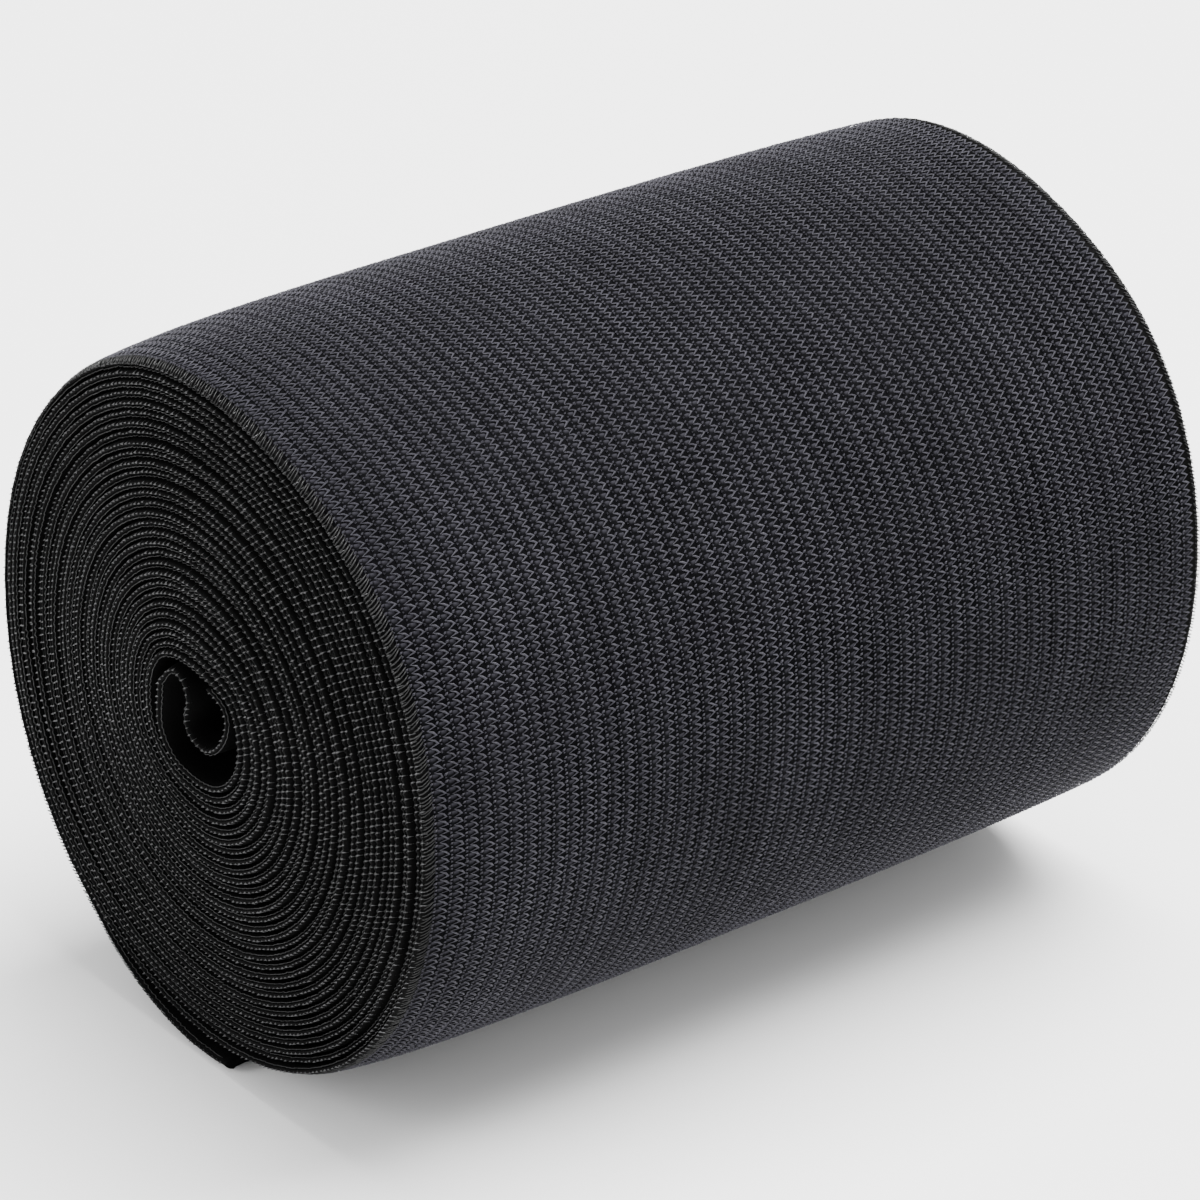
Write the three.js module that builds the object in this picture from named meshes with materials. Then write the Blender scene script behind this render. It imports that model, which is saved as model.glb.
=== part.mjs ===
import * as THREE from 'three';

// A roll of wide ribbed knitted elastic: one cut length, wound on itself with no core.
// Millimetres, +Z up. The roll's axis runs along Y, and its near end faces -Y.
// The origin is on the surface it lies on, under the axis, at the middle of the width.
// Angles are in degrees, counted from +X towards +Z, and grow outwards along the winding.

// The band
const bandWidth = 101.6;
const bandThickness = 1.3;        // where nothing presses on it
const innerEndThickness = 1.0;    // the first stretch, squeezed hard when it was wound
const ribCount = 60;              // ribs that run along the band, side by side across its width
const ribDepth = 0.4;

// The winding
const axisHeight = 40.85;
const hollowCentre = { x: -1.75, z: -1.35 };   // from the roll's axis
const hollowRadius = 6.76;        // where the first turn begins
const rimRadius = 37.75;          // where the band leaves the roll
const startAngle = 160;
const wholeTurns = 30;
const leavingAngle = 235;
const stepsPerTurn = 24;
const turnGroove = 0.45;          // how far the groove between two turns lies behind their edges
const hollowShapeFade = 6;        // how soon the hollow's shape is lost in the turns around it
const rimShapeFade = 3;
const looseSpan = 70;             // degrees of the last turn that stand off the turn below
const looseLift = 0.62;

const clearance = 0.3;            // between the wound solid and either end of the band

// The roll is fuller in the middle of its width than at its ends. Degrees are counted
// from where the band leaves the roll: underneath, the roll's weight presses it level.
const fullness = {
  height: 1.5,
  nearFade: 9,
  farFade: 17,
  farShare: 0.65,
  from: 40,
  full: 68,
  fading: 320,
};

// How far the first turn bulges out of a plain spiral
const hollowShape = [
  { angle: 180, out: 0.0 },
  { angle: 205, out: 0.2 },
  { angle: 230, out: 0.15 },
  { angle: 256, out: -0.65 },
  { angle: 284, out: -0.9 },
  { angle: 314, out: -0.8 },
  { angle: 343, out: -0.6 },
  { angle: 371, out: -0.35 },
  { angle: 393, out: 0.2 },
  { angle: 415, out: 0.3 },
  { angle: 439, out: -0.15 },
  { angle: 465, out: -0.75 },
  { angle: 487, out: -0.1 },
  { angle: 503, out: 0.55 },
];

// The same for the last turn, which is as uneven as a hand-rolled band
const rimShape = [
  { angle: 235, out: 0.5 },
  { angle: 270, out: 0.05 },
  { angle: 315, out: -0.1 },
  { angle: 358, out: -0.2 },
  { angle: 395, out: 0.6 },
  { angle: 430, out: -0.6 },
  { angle: 468, out: -0.1 },
  { angle: 500, out: -0.6 },
  { angle: 540, out: -0.6 },
  { angle: 565, out: 0.0 },
];

// The loose outer end: the underside of the band from the roll to its cut edge, from the axis.
// Its last stretch is pressed flat between the roll and the surface.
const looseRoot = { angle: leavingAngle, radius: rimRadius + 2.1 };
const looseEnd = [
  { x: -20.06, z: -34.75 },
  { x: -17.0, z: -36.46 },
  { x: -13.83, z: -37.99 },
  { x: -10.46, z: -39.1 },
  { x: -7.03, z: -40.05 },
];
const flatSpot = { from: -3.9, to: 1.7 };

// The inner end: the middle of the band's thickness from its fold beside the first turn,
// down the left of the hollow, round under it and up to the cut edge, from the axis
const innerEnd = [
  { x: -8.12, z: 2.05 },
  { x: -7.45, z: 2.85 },
  { x: -6.75, z: 3.4 },
  { x: -5.8, z: 3.62 },
  { x: -4.74, z: 3.23 },
  { x: -3.9, z: 2.35 },
  { x: -3.54, z: 1.3 },
  { x: -3.6, z: 0.2 },
  { x: -3.95, z: -0.85 },
  { x: -4.04, z: -1.75 },
  { x: -3.66, z: -2.5 },
  { x: -2.73, z: -3.15 },
  { x: -1.39, z: -3.5 },
  { x: 0.08, z: -3.35 },
  { x: 1.27, z: -2.7 },
  { x: 2.27, z: -1.66 },
  { x: 2.95, z: -0.42 },
  { x: 3.15, z: 0.85 },
  { x: 2.95, z: 2.1 },
  { x: 2.3, z: 3.3 },
  { x: 1.2, z: 4.3 },
  { x: -0.3, z: 4.75 },
];
const innerEndSteps = 44;

const ribRows = 2 * ribCount;     // a groove, a crown, a groove, and so on across the width
const windingSweep = wholeTurns * 360 + leavingAngle - startAngle;
const turnPitch = (rimRadius - hollowRadius) / (windingSweep / 360);
const stepAngle = 360 / stepsPerTurn;
const windingSteps = windingSweep / stepAngle;

const elastic = new THREE.MeshStandardMaterial({ color: 0x1b1b1f, roughness: 0.85, metalness: 0 });

// Points and outward triangles of one closed solid
class Facets {
  constructor() {
    this.positions = [];
    this.indices = [];
  }
  point(x, y, z) {
    this.positions.push(x, y, z + axisHeight);
    return this.positions.length / 3 - 1;
  }
  triangle(a, b, c) {
    this.indices.push(a, b, c);
  }
  quad(a, b, c, d) {
    this.triangle(a, b, c);
    this.triangle(a, c, d);
  }
  mesh(name) {
    const geometry = new THREE.BufferGeometry();
    geometry.setAttribute('position', new THREE.Float32BufferAttribute(this.positions, 3));
    geometry.setIndex(this.indices);
    geometry.computeVertexNormals();
    return namedMesh(name, geometry);
  }
}

function namedMesh(name, geometry) {
  const mesh = new THREE.Mesh(geometry, elastic);
  mesh.name = name;
  return mesh;
}

// Smooth value of a table of bulges that repeats every turn
function bulgeAt(table, angle) {
  const count = table.length;
  const row = (k) => {
    const turn = Math.floor(k / count);
    const { angle: at, out } = table[k - turn * count];
    return { at: at + 360 * turn, out };
  };
  const first = table[0].angle;
  const wrapped = first + THREE.MathUtils.euclideanModulo(angle - first, 360);
  let k = 0;
  while (row(k + 1).at <= wrapped) k += 1;
  const [before, from, to, after] = [row(k - 1), row(k), row(k + 1), row(k + 2)];
  const span = to.at - from.at;
  const slopeFrom = ((to.out - before.out) / (to.at - before.at)) * span;
  const slopeTo = ((after.out - from.out) / (after.at - from.at)) * span;
  const t = (wrapped - from.at) / span;
  const rise = t * t * (3 - 2 * t);
  return from.out * (1 - rise) + to.out * rise
    + slopeFrom * t * (1 - t) * (1 - t) - slopeTo * t * t * (1 - t);
}

// The face between one turn and the next, this far along the winding and this far below it
function windingPoint(angle, inset = 0) {
  const swept = angle - startAngle;
  const wound = Math.min(swept / windingSweep, 1);
  const loose = THREE.MathUtils.smoothstep(swept - windingSweep, 360 - looseSpan, 360);
  const radius = hollowRadius + (turnPitch * swept) / 360
    + bulgeAt(hollowShape, angle) * (1 - wound) ** hollowShapeFade
    + bulgeAt(rimShape, angle) * wound ** rimShapeFade
    + looseLift * loose - inset;
  const radians = THREE.MathUtils.degToRad(angle);
  return {
    x: hollowCentre.x * (1 - wound) + radius * Math.cos(radians),
    z: hollowCentre.z * (1 - wound) + radius * Math.sin(radians),
  };
}

// How far the last turn stands out of the spiral at a place across the width
function fullnessAt(angle, y) {
  const past = angle - startAngle - windingSweep;
  const share = THREE.MathUtils.smoothstep(past, fullness.from, fullness.full)
    * (1 - THREE.MathUtils.smoothstep(past, fullness.fading, 360));
  const fromNearEnd = bandWidth / 2 + y;
  const fromFarEnd = bandWidth / 2 - y;
  return share * fullness.height * (1 - Math.exp(-fromNearEnd / fullness.nearFade))
    * (1 - fullness.farShare * Math.exp(-fromFarEnd / fullness.farFade));
}

// All the turns as one solid: a grooved spiral on both ends, and ribs round the outside
function woundBand() {
  const solid = new Facets();
  const halfWidth = bandWidth / 2;
  const grooveAt = halfWidth - turnGroove;
  const outerFrom = windingSteps;
  const outerTo = windingSteps + stepsPerTurn;
  const nearGroove = [];
  const farGroove = [];
  const nearCrown = [];
  const farCrown = [];

  for (let i = 0; i <= outerTo; i += 1) {
    const angle = startAngle + i * stepAngle;
    const inset = i >= outerFrom ? ribDepth : 0;
    const near = windingPoint(angle, inset - fullnessAt(angle, -grooveAt));
    const far = windingPoint(angle, inset - fullnessAt(angle, grooveAt));
    nearGroove.push(solid.point(near.x, -grooveAt, near.z));
    farGroove.push(solid.point(far.x, grooveAt, far.z));
  }
  for (let i = 0; i <= outerFrom; i += 1) {
    const inner = windingPoint(startAngle + i * stepAngle);
    const outer = windingPoint(startAngle + i * stepAngle + 360);
    const x = (inner.x + outer.x) / 2;
    const z = (inner.z + outer.z) / 2;
    nearCrown.push(solid.point(x, -halfWidth, z));
    farCrown.push(solid.point(x, halfWidth, z));
  }

  // Both ends, turn by turn
  for (let i = 0; i < outerFrom; i += 1) {
    const next = i + stepsPerTurn;
    solid.quad(nearGroove[i], nearCrown[i], nearCrown[i + 1], nearGroove[i + 1]);
    solid.quad(nearCrown[i], nearGroove[next], nearGroove[next + 1], nearCrown[i + 1]);
    solid.quad(farGroove[i], farGroove[i + 1], farCrown[i + 1], farCrown[i]);
    solid.quad(farCrown[i], farCrown[i + 1], farGroove[next + 1], farGroove[next]);
  }

  // The wall of the hollow, and the edge where the first turn begins
  for (let i = 0; i < stepsPerTurn; i += 1) {
    solid.quad(nearGroove[i], nearGroove[i + 1], farGroove[i + 1], farGroove[i]);
  }
  solid.quad(nearGroove[stepsPerTurn], nearGroove[0], farGroove[0], farGroove[stepsPerTurn]);
  solid.triangle(nearGroove[0], nearGroove[stepsPerTurn], nearCrown[0]);
  solid.triangle(farGroove[0], farCrown[0], farGroove[stepsPerTurn]);

  // The ribbed outside, one list of points across the width for each step round it
  const outside = [];
  for (let i = outerFrom; i <= outerTo; i += 1) {
    const angle = startAngle + i * stepAngle;
    const across = [nearGroove[i]];
    for (let row = 1; row < ribRows; row += 1) {
      const y = grooveAt * ((2 * row) / ribRows - 1);
      const { x, z } = windingPoint(angle, (row % 2 ? 0 : ribDepth) - fullnessAt(angle, y));
      across.push(solid.point(x, y, z));
    }
    across.push(farGroove[i]);
    outside.push(across);
  }
  for (let row = 0; row < ribRows; row += 1) {
    for (let i = 0; i < stepsPerTurn; i += 1) {
      const [here, there] = [outside[i], outside[i + 1]];
      solid.quad(here[row], here[row + 1], there[row + 1], there[row]);
    }
    // The step down to the turn below, where the band leaves the roll
    const [below, above] = [outside[0], outside[stepsPerTurn]];
    solid.quad(below[row], above[row], above[row + 1], below[row + 1]);
  }
  solid.triangle(nearGroove[outerFrom], nearCrown[outerFrom], nearGroove[outerTo]);
  solid.triangle(farGroove[outerFrom], farGroove[outerTo], farCrown[outerFrom]);
  return solid.mesh('wound_band');
}

// The last stretch of the band, ribbed below, from the roll to the flat spot and the cut edge
function looseOuterEnd() {
  const solid = new Facets();
  const halfWidth = bandWidth / 2;
  const floor = -axisHeight;
  const rootAngle = THREE.MathUtils.degToRad(
    looseRoot.angle + THREE.MathUtils.radToDeg(clearance / looseRoot.radius));
  const root = {
    x: looseRoot.radius * Math.cos(rootAngle),
    z: looseRoot.radius * Math.sin(rootAngle),
  };
  const route = [root, ...looseEnd, { x: flatSpot.from, z: floor }, { x: flatSpot.to, z: floor }];
  const flatFrom = route.length - 2;
  const flatTo = route.length - 1;

  // Straight up out of the band at each point of its route
  const inward = route.map((point, k) => {
    const from = route[Math.max(k - 1, 0)];
    const to = route[Math.min(k + 1, flatTo)];
    const length = Math.hypot(to.x - from.x, to.z - from.z);
    return { x: -(to.z - from.z) / length, z: (to.x - from.x) / length };
  });
  inward[flatTo] = { x: 0, z: 1 };

  const below = [];
  const nearAbove = [];
  const farAbove = [];
  route.forEach((point, k) => {
    const up = inward[k];
    const x = point.x + up.x * bandThickness;
    const z = point.z + up.z * bandThickness;
    nearAbove.push(solid.point(x, -halfWidth, z));
    farAbove.push(solid.point(x, halfWidth, z));
    if (k === flatTo) return;
    const across = [];
    for (let row = 0; row <= ribRows; row += 1) {
      const raised = k === flatFrom || row % 2 ? 0 : ribDepth;
      const y = halfWidth * ((2 * row) / ribRows - 1);
      across.push(solid.point(point.x + up.x * raised, y, point.z + up.z * raised));
    }
    below.push(across);
  });
  const nearTip = solid.point(flatSpot.to, -halfWidth, floor);
  const farTip = solid.point(flatSpot.to, halfWidth, floor);

  for (let k = 0; k < flatFrom; k += 1) {
    const [here, there] = [below[k], below[k + 1]];
    for (let row = 0; row < ribRows; row += 1) {
      solid.quad(here[row], here[row + 1], there[row + 1], there[row]);
    }
    solid.quad(here[0], there[0], nearAbove[k + 1], nearAbove[k]);
    solid.quad(here[ribRows], farAbove[k], farAbove[k + 1], there[ribRows]);
  }
  for (let k = 0; k < flatTo; k += 1) {
    solid.quad(nearAbove[k], nearAbove[k + 1], farAbove[k + 1], farAbove[k]);
  }
  const edge = below[flatFrom];
  solid.quad(edge[0], nearTip, nearAbove[flatTo], nearAbove[flatFrom]);
  solid.quad(edge[ribRows], farAbove[flatFrom], farAbove[flatTo], farTip);
  solid.quad(nearTip, farTip, farAbove[flatTo], nearAbove[flatTo]);

  // The flat spot, and the face that looks back at the roll
  const middle = ribRows / 2;
  const start = below[0];
  for (let row = 0; row < ribRows; row += 1) {
    solid.triangle(row < middle ? nearTip : farTip, edge[row], edge[row + 1]);
    solid.triangle(row < middle ? nearAbove[0] : farAbove[0], start[row + 1], start[row]);
  }
  solid.triangle(nearTip, edge[middle], farTip);
  solid.triangle(nearAbove[0], farAbove[0], start[middle]);
  return solid.mesh('loose_end');
}

// The first stretch of the band, a plain sheet that hooks round inside the hollow
function innerHook() {
  const points = innerEnd.map(({ x, z }) => new THREE.Vector3(x, z, 0));
  const route = new THREE.CatmullRomCurve3(points);
  const half = innerEndThickness / 2;
  const left = [];
  const right = [];
  for (let k = 0; k <= innerEndSteps; k += 1) {
    const at = route.getPointAt(k / innerEndSteps);
    const along = route.getTangentAt(k / innerEndSteps);
    left.push(new THREE.Vector2(at.x - along.y * half, at.y + along.x * half));
    right.unshift(new THREE.Vector2(at.x + along.y * half, at.y - along.x * half));
  }
  const outline = new THREE.Shape([...left, ...right]);
  const depth = bandWidth - 2 * turnGroove;
  const geometry = new THREE.ExtrudeGeometry(outline, { depth, bevelEnabled: false });
  geometry.rotateX(Math.PI / 2);
  geometry.translate(0, depth / 2, axisHeight);
  return namedMesh('inner_end', geometry);
}

const group = new THREE.Group();
group.add(woundBand());
group.add(looseOuterEnd());
group.add(innerHook());

export default group;
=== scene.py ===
import math

import bmesh
import bpy
import numpy as np
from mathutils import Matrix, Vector


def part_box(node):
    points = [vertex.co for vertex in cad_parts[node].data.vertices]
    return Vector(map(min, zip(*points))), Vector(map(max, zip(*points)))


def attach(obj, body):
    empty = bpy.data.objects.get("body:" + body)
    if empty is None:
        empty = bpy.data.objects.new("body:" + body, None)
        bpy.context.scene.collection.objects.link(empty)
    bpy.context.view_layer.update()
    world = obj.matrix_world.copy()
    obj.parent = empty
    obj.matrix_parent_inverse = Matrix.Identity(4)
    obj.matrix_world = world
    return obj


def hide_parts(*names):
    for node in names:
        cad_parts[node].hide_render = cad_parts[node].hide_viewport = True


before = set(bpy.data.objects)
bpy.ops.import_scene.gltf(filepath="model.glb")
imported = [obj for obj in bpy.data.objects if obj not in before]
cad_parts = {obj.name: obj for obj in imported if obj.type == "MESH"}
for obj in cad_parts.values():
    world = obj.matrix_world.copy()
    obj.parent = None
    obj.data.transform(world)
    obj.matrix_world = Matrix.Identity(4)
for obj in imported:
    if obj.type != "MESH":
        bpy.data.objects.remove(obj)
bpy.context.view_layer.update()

mm = 0.001
dice = np.random.default_rng(60)

# The winding, in millimetres and degrees counted from +X towards +Z, as the solids have it
bandLow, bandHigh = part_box("wound_band")
bandWidth = (bandHigh.y - bandLow.y) / mm
halfWidth = bandWidth / 2
roll = {
    "axisHeight": 40.85,
    "hollowCentre": (-1.75, -1.35),
    "hollowRadius": 6.76,
    "rimRadius": 37.75,
    "startAngle": 160,
    "wholeTurns": 30,
    "leavingAngle": 235,
    "hollowShapeFade": 6,
    "rimShapeFade": 3,
    "looseSpan": 70,
    "looseLift": 0.8,
    "cutLength": 4.5,       # of the whole band laid flat, in metres
    "farReach": 0.4,        # added to the band's width at its far edge
}
hollowShape = [
    (180, 0.0), (205, 0.25), (230, 0.05), (256, -0.8), (284, -1.0), (314, -0.92), (343, -0.72),
    (371, -0.5), (393, 0.1), (415, 0.2), (439, -0.2), (465, -0.75), (487, -0.05), (503, 0.65),
]
# Where the first turns are pressed inwards, where they stand off, and how the first of them starts
press = {"angle": 432, "spread": 31, "depth": 1.5, "fade": 2.5}
stand = {"angle": 545, "spread": 35, "height": 0.95, "fade": 3, "from": 480, "full": 530}
firstDrop = {"depth": 0.5, "over": 40}
rimShape = [
    (235, 0.5), (270, 0.05), (315, -0.1), (358, -0.2), (395, 0.6),
    (430, -0.6), (468, -0.1), (500, -0.6), (540, -0.6), (565, 0.0),
]
# The roll is fuller in the middle of its width, by this much, but pressed level underneath
fullness = {
    "height": 1.5,
    "nearFade": 9,          # from the near edge inwards
    "farFade": 17,
    "farShare": 0.65,       # of the fullness lost at the far edge
    "fromAngle": 40,        # these three in degrees along the shown turn
    "fullAngle": 68,
    "fadingAngle": 320,
}
# Middle of the folded inner end, from its cut edge back to the first turn
innerEnd = [
    (0.2, 3.82), (1.2, 3.6), (2.2, 3.2), (2.92, 2.75), (3.32, 2.1), (3.45, 1.3), (3.28, 0.33),
    (2.7, -1.06), (1.53, -2.51), (0.25, -3.4), (-0.85, -3.63), (-1.86, -3.54), (-2.86, -3.18),
    (-3.6, -2.6), (-4.02, -1.77), (-3.97, -0.9), (-3.6, 0.2), (-3.55, 1.24), (-3.93, 2.35),
    (-4.72, 3.11), (-5.9, 3.45), (-7.06, 2.9), (-7.85, 1.91),
]
# Underside of the loose outer end, from the roll to its cut edge
looseEnd = [
    (-20.26, -35.1), (-17.25, -36.95), (-14.03, -38.5), (-10.6, -39.65), (-7.1, -40.45),
    (-3.9, -40.82), (-1.1, -40.85), (1.7, -40.85),
]
sweep = roll["wholeTurns"] * 360 + roll["leavingAngle"] - roll["startAngle"]
pitch = (roll["rimRadius"] - roll["hollowRadius"]) / (sweep / 360)


def smooth(t):
    t = np.clip(t, 0, 1)
    return t * t * (3 - 2 * t)


def bulgeAt(table, angles):
    # Smooth value of a table that repeats every turn
    at = np.array([row[0] for row in table], float)
    out = np.array([row[1] for row in table], float)
    first = at[0]
    at = np.concatenate([at - 360, at, at + 360])
    out = np.tile(out, 3)
    slope = np.zeros_like(out)
    slope[1:-1] = (out[2:] - out[:-2]) / (at[2:] - at[:-2])
    wrapped = first + (angles - first) % 360
    k = np.searchsorted(at, wrapped, side="right") - 1
    span = at[k + 1] - at[k]
    t = (wrapped - at[k]) / span
    rise = t * t * (3 - 2 * t)
    curve = slope[k] * span * t * (1 - t) ** 2 - slope[k + 1] * span * t * t * (1 - t)
    return out[k] * (1 - rise) + out[k + 1] * rise + curve


def nearAngle(angles, middle, spread):
    # 1 at this angle of every turn, falling to 0 on both sides of it
    return np.exp(-(((angles - middle + 180) % 360 - 180) / spread) ** 2)


def turnFace(angles):
    # The face between one turn and the next, this far along the winding
    angles = np.asarray(angles, float)
    swept = angles - roll["startAngle"]
    wound = np.minimum(swept / sweep, 1)
    loose = smooth((swept - sweep - 360 + roll["looseSpan"]) / roll["looseSpan"])
    radius = roll["hollowRadius"] + pitch * swept / 360 + roll["looseLift"] * loose
    radius += bulgeAt(hollowShape, angles) * (1 - wound) ** roll["hollowShapeFade"]
    radius += bulgeAt(rimShape, angles) * wound ** roll["rimShapeFade"]
    pressed = nearAngle(angles, press["angle"], press["spread"])
    radius -= press["depth"] * pressed * (1 - wound) ** press["fade"]
    standing = nearAngle(angles, stand["angle"], stand["spread"])
    standing *= smooth((angles - stand["from"]) / (stand["full"] - stand["from"]))
    radius += stand["height"] * standing * (1 - wound) ** stand["fade"]
    radius -= firstDrop["depth"] * (1 - smooth(swept / firstDrop["over"]))
    turn = np.radians(angles)
    x = roll["hollowCentre"][0] * (1 - wound) + radius * np.cos(turn)
    z = roll["hollowCentre"][1] * (1 - wound) + radius * np.sin(turn)
    return np.stack([x, z], -1)


def throughPoints(points, steps):
    # A smooth route through given points, with this many steps between two of them
    points = np.array(points, float)
    p = np.concatenate([[2 * points[0] - points[1]], points, [2 * points[-1] - points[-2]]])
    t = np.linspace(0, 1, steps, endpoint=False)[:, None]
    runs = []
    for k in range(1, len(p) - 2):
        a, b, c, d = p[k - 1], p[k], p[k + 1], p[k + 2]
        runs.append(0.5 * (2 * b + (c - a) * t + (2 * a - 5 * b + 4 * c - d) * t ** 2
                           + (3 * b - a - 3 * c + d) * t ** 3))
    return np.concatenate(runs + [points[-1:]])


def lengthAlong(points):
    return np.concatenate([[0], np.cumsum(np.linalg.norm(np.diff(points, axis=0), axis=1))])


def outwardOf(points):
    # Unit vectors out of the outer face of a route that winds from +X towards +Z
    along = np.gradient(points, axis=0)
    along /= np.linalg.norm(along, axis=1)[:, None]
    return np.stack([along[:, 1], -along[:, 0]], -1)


# The band, in millimetres, turns and degrees
band = {
    "innerEndThickness": 0.9,
    "firstThickness": 1.4,   # at most, in the first turns, which stand apart from each other
    "laterThickness": 2.0,   # how much more the later turns may have
    "laterFrom": 3,
    "laterOver": 3,
    "looseThickness": 1.35,
    "looseDepth": 0.08,      # from the route of the loose end up to its outer face
    "faceDepth": 0.55,       # from the tops of the shown face's yarns down to the band under them
    "stepsPerTurn": 60,
    "stepsPerPoint": 4,
    "shownStep": 1.0,        # degrees, for the finer face that carries the stitches
    "shownStepsPerPoint": 6,
    "lastTurnFade": 20,      # degrees in which the shown turn begins
    "gapShare": 0.02,        # of a turn's pitch left open on each side of it
    "gapFade": 0.4,          # turns in which the first gap opens
    "looseGapShare": 0.14,   # the same where the turns stand apart, low on the right
    "looseGapAngle": -25,
    "looseGapSpread": 55,
    "patchWaves": (2.4, 0.83),   # radians a turn, of the two waves that make those gaps come and go
    "patchPhase": 0.6,
}
# The rounded selvedge: share of the thickness, and how far in from the edge
selvedge = [
    (0.0, 1.5), (0.1, 0.9), (0.24, 0.42), (0.4, 0.12), (0.6, 0.12), (0.76, 0.42), (0.9, 0.9), (1.0, 1.5),
]
# The turns don't lie quite level at the ends: height, length along the band and phase of two waves
driftWaves = [(0.16, 61, 0.0), (0.1, 23, 1.0)]


def bandFaces():
    # Its inner face and its outer face from cut edge to cut edge, and 1 where it is the shown turn
    hookMiddle = throughPoints(innerEnd, band["stepsPerPoint"])
    hookOut = outwardOf(hookMiddle) * band["innerEndThickness"] / 2
    steps = np.arange(0, sweep + 0.01, 360 / band["stepsPerTurn"])
    angles = roll["startAngle"] + steps
    below, above = turnFace(angles), turnFace(angles + 360)
    turnsIn = steps / 360
    fast, slow = band["patchWaves"]
    patchy = 0.5 + 0.5 * np.sin(turnsIn * fast + band["patchPhase"]) * np.sin(turnsIn * slow)
    apart = nearAngle(angles, band["looseGapAngle"], band["looseGapSpread"])
    gap = band["gapShare"] + (band["looseGapShare"] - band["gapShare"]) * apart * patchy
    gap = (gap * smooth(turnsIn / band["gapFade"]))[:, None]
    distance = np.linalg.norm(above - below, axis=1)[:, None]
    inner = below + (above - below) * gap
    later = smooth((turnsIn - band["laterFrom"]) / band["laterOver"])[:, None]
    most = band["firstThickness"] + band["laterThickness"] * later
    lastTurn = smooth((steps - sweep + 360) / band["lastTurnFade"])
    # The shown turn has no gap above it
    outer = below + (above - below) * np.minimum(1 - gap * (1 - lastTurn[:, None]), most / distance)
    leaving = turnFace([roll["startAngle"] + sweep + 360])[0]
    loose = throughPoints([leaving] + looseEnd, band["stepsPerPoint"])[1:]
    looseOut = outwardOf(loose)
    looseInner = loose - looseOut * band["looseThickness"]
    looseOuter = loose - looseOut * band["looseDepth"]
    return (np.concatenate([hookMiddle - hookOut, inner, looseInner]),
            np.concatenate([hookMiddle + hookOut, outer, looseOuter]),
            np.concatenate([np.zeros(len(hookMiddle)), lastTurn, np.ones(len(loose))]))


innerFace, outerFace, shownTurn = bandFaces()
bandAt = lengthAlong((innerFace + outerFace) / 2)
print("band", round(bandAt[-1] / 1000, 3), "m long")


def shownFace():
    # The outer face that shows, the last turn and the loose end, by its length
    steps = np.arange(0, 360.01, band["shownStep"])
    turn = turnFace(roll["startAngle"] + sweep + steps)
    loose = throughPoints([turn[-1]] + looseEnd, band["shownStepsPerPoint"])[1:]
    points = np.concatenate([turn, loose])
    full = smooth((steps - fullness["fromAngle"]) / (fullness["fullAngle"] - fullness["fromAngle"]))
    full = full * (1 - smooth((steps - fullness["fadingAngle"]) / (360 - fullness["fadingAngle"])))
    return lengthAlong(points), points, outwardOf(points), np.concatenate([full, np.zeros(len(loose))])


shownAt, shownPoints, shownOut, shownFull = shownFace()
shownLength = shownAt[-1]


def fullnessAt(along, y):
    share = np.interp(along, shownAt, shownFull) * fullness["height"]
    fromNearEnd = np.clip(halfWidth + y, 0, None)
    fromFarEnd = np.clip(halfWidth - y, 0, None)
    farLoss = fullness["farShare"] * np.exp(-fromFarEnd / fullness["farFade"])
    return share * (1 - np.exp(-fromNearEnd / fullness["nearFade"])) * (1 - farLoss)


def place(points, y):
    # Millimetres in the roll's section to metres in the frame
    y = np.broadcast_to(y, points.shape[:-1])
    return np.stack([points[..., 0], y, points[..., 1] + roll["axisHeight"]], -1) * mm


def endDrift(along):
    return sum(height * np.sin(along / length + phase) for height, length, phase in driftWaves)


def finishObject(name, mesh, material, rounded=True):
    mesh.name = name
    mesh.validate()
    if rounded:
        mesh.shade_smooth()
    else:
        mesh.shade_flat()
    mesh.materials.clear()
    mesh.materials.append(material)
    made = bpy.data.objects.new(name, mesh)
    bpy.context.scene.collection.objects.link(made)
    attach(made, "root")
    return made


def sweptStrip(rings):
    # One closed strip: a ring of corners extruded through the places given for it
    count = len(rings[0])
    bm = bmesh.new()
    ring = [bm.verts.new(co) for co in rings[0]]
    edges = [bm.edges.new((ring[k], ring[(k + 1) % count])) for k in range(count)]
    bm.faces.new(ring)
    for step in rings[1:]:
        made = bmesh.ops.extrude_edge_only(bm, edges=edges)["geom"]
        fresh = [g for g in made if isinstance(g, bmesh.types.BMVert)]
        freshSet = set(fresh)
        edges = [g for g in made if isinstance(g, bmesh.types.BMEdge)
                 and g.verts[0] in freshSet and g.verts[1] in freshSet]
        # The new ring lies on the old one: pair the two before it moves
        lookup = {tuple(round(c, 7) for c in v.co): v for v in fresh}
        ring = [lookup[tuple(round(c, 7) for c in old.co)] for old in ring]
        for vert, co in zip(ring, step):
            vert.co = co
    bm.faces.new(list(reversed(ring)))
    bmesh.ops.recalc_face_normals(bm, faces=bm.faces)
    return bm


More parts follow.
